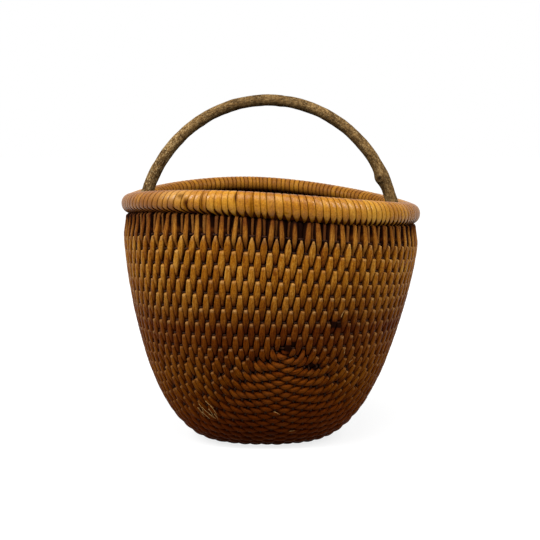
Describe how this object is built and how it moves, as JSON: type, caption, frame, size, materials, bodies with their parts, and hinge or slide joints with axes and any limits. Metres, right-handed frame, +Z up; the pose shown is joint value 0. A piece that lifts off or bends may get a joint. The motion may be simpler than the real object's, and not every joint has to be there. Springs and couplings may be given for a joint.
{
  "type": "handled basket",
  "caption": "Round-bottomed gathering basket of U-shaped willow rods woven round two roses, with a lashed hoop rim and a fixed bent-branch handle.",
  "frame": {"origin": "on the floor, under the middle of the rim", "axes": "+Z up, towards the handle's crown; +X along the handle's span, to the right seen from the front; the front rose faces -Y"},
  "size_m": [0.364, 0.3402, 0.4235],
  "materials": {
    "willow_rods": "aged varnished willow, satin",
    "wefts": "dark thin willow, matt",
    "rim_hoops": "split willow, satin",
    "lashing": "flat willow strip, glossy golden brown",
    "handle_bark": "branch with grey-brown bark, rough",
    "pegs": "whittled wood, matt"
  },
  "bodies": {
    "root": {"willow_rods_01": "willow_rods", "willow_rods_02": "willow_rods", "willow_rods_03": "willow_rods", "willow_rods_04": "willow_rods", "willow_rods_05": "willow_rods", "willow_rods_06": "willow_rods", "willow_rods_07": "willow_rods", "willow_rods_08": "willow_rods", "willow_rods_09": "willow_rods", "willow_rods_10": "willow_rods", "willow_rods_11": "willow_rods", "willow_rods_12": "willow_rods", "willow_rods_13": "willow_rods", "willow_rods_14": "willow_rods", "willow_rods_15": "willow_rods", "willow_rods_16": "willow_rods", "willow_rods_17": "willow_rods", "willow_rods_18": "willow_rods", "willow_rods_19": "willow_rods", "willow_rods_20": "willow_rods", "willow_rods_21": "willow_rods", "willow_rods_22": "willow_rods", "willow_rods_23": "willow_rods", "willow_rods_24": "willow_rods", "willow_rods_25": "willow_rods", "willow_rods_26": "willow_rods", "willow_rods_27": "willow_rods", "weft_ring_1": "wefts", "weft_ring_2": "wefts", "weft_ring_3": "wefts", "weft_ring_4": "wefts", "weft_ring_5": "wefts", "weft_ring_6": "wefts", "weft_ring_7": "wefts", "weft_ring_8": "wefts", "weft_ring_9": "wefts", "base_weft_1": "wefts", "base_weft_2": "wefts", "base_weft_3": "wefts", "base_weft_4": "wefts", "base_weft_5": "wefts", "base_weft_6": "wefts", "rim_hoop_outer": "rim_hoops", "rim_hoop_inner_front": "rim_hoops", "rim_hoop_inner_back": "rim_hoops", "rim_lashing_front": "lashing", "rim_lashing_back": "lashing", "handle": "handle_bark", "handle_peg_left": "pegs", "handle_peg_right": "pegs"}
  },
  "joints": []
}
